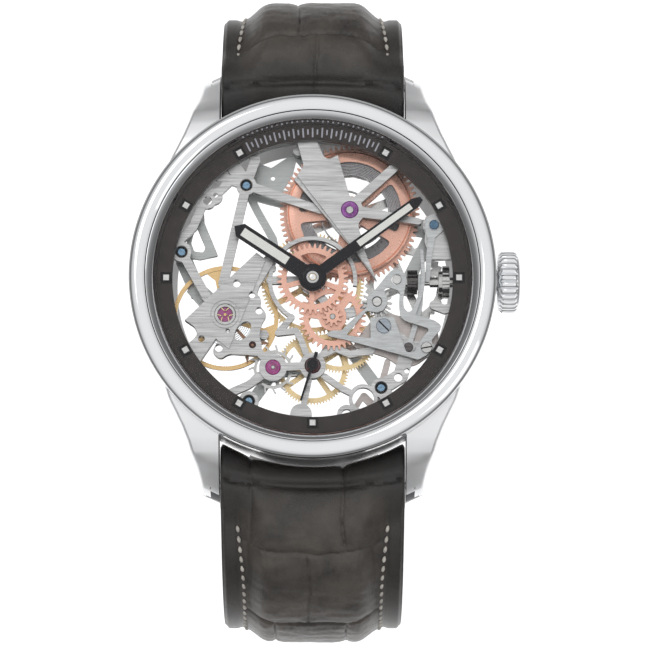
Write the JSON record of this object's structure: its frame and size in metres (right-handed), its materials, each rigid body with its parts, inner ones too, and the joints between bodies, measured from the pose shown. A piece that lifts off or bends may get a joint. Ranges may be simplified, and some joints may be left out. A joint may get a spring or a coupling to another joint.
{
  "type": "wristwatch",
  "caption": "Round open-worked hand-wound wristwatch with small seconds at six, fluted crown and an open padded leather strap.",
  "frame": {"origin": "centre of the case back's outer face, on the axis of the hands", "axes": "+Z out of the dial towards the viewer, +Y towards 12 on the dial, +X towards 3 and the crown"},
  "size_m": [0.045, 0.0848, 0.0987],
  "materials": {
    "polished_steel": "polished steel",
    "glass": "clear",
    "dial_ring": "satin dark grey brown",
    "brushed_plate": "brushed along the 3 to 9 line",
    "satin_steel": "satin",
    "ruby": "polished synthetic ruby",
    "blued_steel": "blued, polished",
    "rose_gold": "rose gold plated, satin",
    "gilt_brass": "gilt",
    "black_lacquer": "black lacquer with pale inlays",
    "leather": "padded, scale pattern, semi gloss"
  },
  "bodies": {
    "case": {"case_middle": "polished_steel", "bezel": "polished_steel", "crystal": "glass", "case_back": "polished_steel", "case_back_crystal": "glass", "chapter_ring": "dial_ring", "spring_bar_12": "satin_steel", "spring_bar_6": "satin_steel", "mainplate": "brushed_plate", "barrel_bridge": "brushed_plate", "train_bridge": "brushed_plate", "balance_cock": "brushed_plate", "pallet_bridge": "brushed_plate", "jewel_barrel": "ruby", "jewel_balance": "ruby", "jewel_escape": "ruby", "jewel_seconds": "ruby", "jewel_pallet": "ruby", "screw_a": "blued_steel", "screw_b": "blued_steel", "screw_c": "blued_steel", "screw_d": "blued_steel", "screw_e": "blued_steel", "yoke_screw": "satin_steel", "cover_screw": "satin_steel", "edge_screw": "polished_steel", "keyless_cover": "satin_steel"},
    "seconds": {"fourth_wheel": "gilt_brass", "seconds_hand": "black_lacquer"},
    "minutes": {"centre_wheel": "gilt_brass", "cannon_pinion": "satin_steel", "minute_hand": "black_lacquer"},
    "hours": {"hour_wheel": "rose_gold", "hour_hand": "black_lacquer"},
    "minute_works": {"minute_wheel": "rose_gold"},
    "setting": {"setting_wheel": "satin_steel"},
    "third": {"third_wheel": "gilt_brass"},
    "escape": {"escape_wheel": "polished_steel"},
    "pallets": {"pallet_fork": "gilt_brass"},
    "balance": {"balance_wheel": "gilt_brass", "hairspring": "blued_steel"},
    "barrel_drum": {"barrel": "rose_gold", "barrel_cover": "rose_gold", "mainspring": "satin_steel"},
    "ratchet": {"ratchet_wheel": "satin_steel", "barrel_arbor": "satin_steel"},
    "crown_wheel_body": {"crown_wheel": "satin_steel"},
    "winding": {"winding_pinion": "satin_steel"},
    "clutch": {"sliding_pinion": "satin_steel"},
    "crown_body": {"crown": "polished_steel", "winding_stem": "satin_steel"},
    "lever": {"setting_lever": "satin_steel"},
    "yoke_body": {"yoke": "satin_steel"},
    "strap_long": {"strap_6": "leather"},
    "strap_short": {"strap_12": "leather", "fixed_keeper": "leather"},
    "keeper": {"free_keeper": "leather"},
    "buckle": {"buckle_frame": "polished_steel", "buckle_bar": "satin_steel"},
    "tang": {"buckle_tang": "polished_steel"}
  },
  "joints": [
    {"name": "seconds_turn", "type": "hinge", "parent": "case", "child": "seconds", "pos_m": [0, -0.01, 0.005], "axis": [0, 0, -1], "continuous": true},
    {"name": "minutes_turn", "type": "hinge", "parent": "case", "child": "minutes", "pos_m": [0, 0, 0.005], "axis": [0, 0, -1], "continuous": true},
    {"name": "hours_turn", "type": "hinge", "parent": "case", "child": "hours", "pos_m": [0, 0, 0.008], "axis": [0, 0, -1], "continuous": true},
    {"name": "minute_works_turn", "type": "hinge", "parent": "case", "child": "minute_works", "pos_m": [0.00229, -0.00439, 0.0073], "axis": [0, 0, -1], "continuous": true},
    {"name": "setting_wheel_turn", "type": "hinge", "parent": "case", "child": "setting", "pos_m": [0.0074, -0.00267, 0.0073], "axis": [0, 0, -1], "continuous": true},
    {"name": "third_turn", "type": "hinge", "parent": "case", "child": "third", "pos_m": [0.00313, -0.00598, 0.005], "axis": [0, 0, -1], "continuous": true},
    {"name": "escape_turn", "type": "hinge", "parent": "case", "child": "escape", "pos_m": [-0.00455, -0.0102, 0.0055], "axis": [0, 0, -1], "continuous": true},
    {"name": "barrel_turn", "type": "hinge", "parent": "case", "child": "barrel_drum", "pos_m": [0.00427, 0.00811, 0.005], "axis": [0, 0, -1], "continuous": true},
    {"name": "balance_swing", "type": "hinge", "parent": "case", "child": "balance", "pos_m": [-0.01005, -0.0041, 0.0046], "axis": [0, 0, 1], "range_deg": [-135, 135], "stiffness_Nm_per_rad": 0.0000006},
    {"name": "pallet_rock", "type": "hinge", "parent": "case", "child": "pallets", "pos_m": [-0.0069, -0.0076, 0.0055], "axis": [0, 0, 1], "range_deg": [-5, 5]},
    {"name": "crown_turn", "type": "hinge", "parent": "case", "child": "winding", "pos_m": [0, 0, 0.0053], "axis": [1, 0, 0], "continuous": true},
    {"name": "crown_pull", "type": "slide", "parent": "winding", "child": "crown_body", "axis": [1, 0, 0], "range_m": [0, 0.0009]},
    {"name": "clutch_slide", "type": "slide", "parent": "winding", "child": "clutch", "axis": [-1, 0, 0], "range_m": [0, 0.00045]},
    {"name": "lever_swing", "type": "hinge", "parent": "case", "child": "lever", "pos_m": [0.01398, 0.00636, 0.0072], "axis": [0, 0, 1], "range_deg": [0, 8.1]},
    {"name": "yoke_swing", "type": "hinge", "parent": "case", "child": "yoke_body", "pos_m": [0.01099, -0.00789, 0.0072], "axis": [0, 0, 1], "range_deg": [0, 3.25]},
    {"name": "crown_wheel_turn", "type": "hinge", "parent": "case", "child": "crown_wheel_body", "pos_m": [0.01075, 0, 0.003], "axis": [0, 0, 1], "continuous": true},
    {"name": "ratchet_turn", "type": "hinge", "parent": "case", "child": "ratchet", "pos_m": [0.00427, 0.00811, 0.003], "axis": [0, 0, 1], "continuous": true},
    {"name": "strap_12_swing", "type": "hinge", "parent": "case", "child": "strap_short", "pos_m": [0, 0.0233, 0.003], "axis": [1, 0, 0], "range_deg": [-10, 40]},
    {"name": "strap_6_swing", "type": "hinge", "parent": "case", "child": "strap_long", "pos_m": [0, -0.0233, 0.003], "axis": [1, 0, 0], "range_deg": [-40, 10]},
    {"name": "keeper_slide", "type": "slide", "parent": "strap_short", "child": "keeper", "axis": [0, 0.1219, -0.9925], "range_m": [-0.006, 0.0025]},
    {"name": "buckle_swing", "type": "hinge", "parent": "strap_short", "child": "buckle", "pos_m": [0, 0.03999, -0.07165], "axis": [1, 0, 0], "range_deg": [-30, 40]},
    {"name": "tang_swing", "type": "hinge", "parent": "buckle", "child": "tang", "pos_m": [0, 0.03999, -0.07165], "axis": [1, 0, 0], "range_deg": [0, 55]}
  ],
  "couplings": [
    {"joint": "minutes_turn", "follows": "seconds_turn", "ratio": 0.016667},
    {"joint": "hours_turn", "follows": "seconds_turn", "ratio": 0.0013889},
    {"joint": "minute_works_turn", "follows": "seconds_turn", "ratio": -0.0055556},
    {"joint": "setting_wheel_turn", "follows": "seconds_turn", "ratio": 0.0125},
    {"joint": "third_turn", "follows": "seconds_turn", "ratio": -0.13333},
    {"joint": "escape_turn", "follows": "seconds_turn", "ratio": -10},
    {"joint": "barrel_turn", "follows": "seconds_turn", "ratio": -0.0025641},
    {"joint": "pallet_rock", "follows": "balance_swing", "ratio": -0.03},
    {"joint": "crown_wheel_turn", "follows": "crown_turn", "ratio": -0.4},
    {"joint": "ratchet_turn", "follows": "crown_turn", "ratio": 0.32},
    {"joint": "clutch_slide", "follows": "crown_pull", "ratio": 0.5},
    {"joint": "lever_swing", "follows": "crown_pull", "rad_per_m": 156.06},
    {"joint": "yoke_swing", "follows": "crown_pull", "rad_per_m": 62.578}
  ]
}
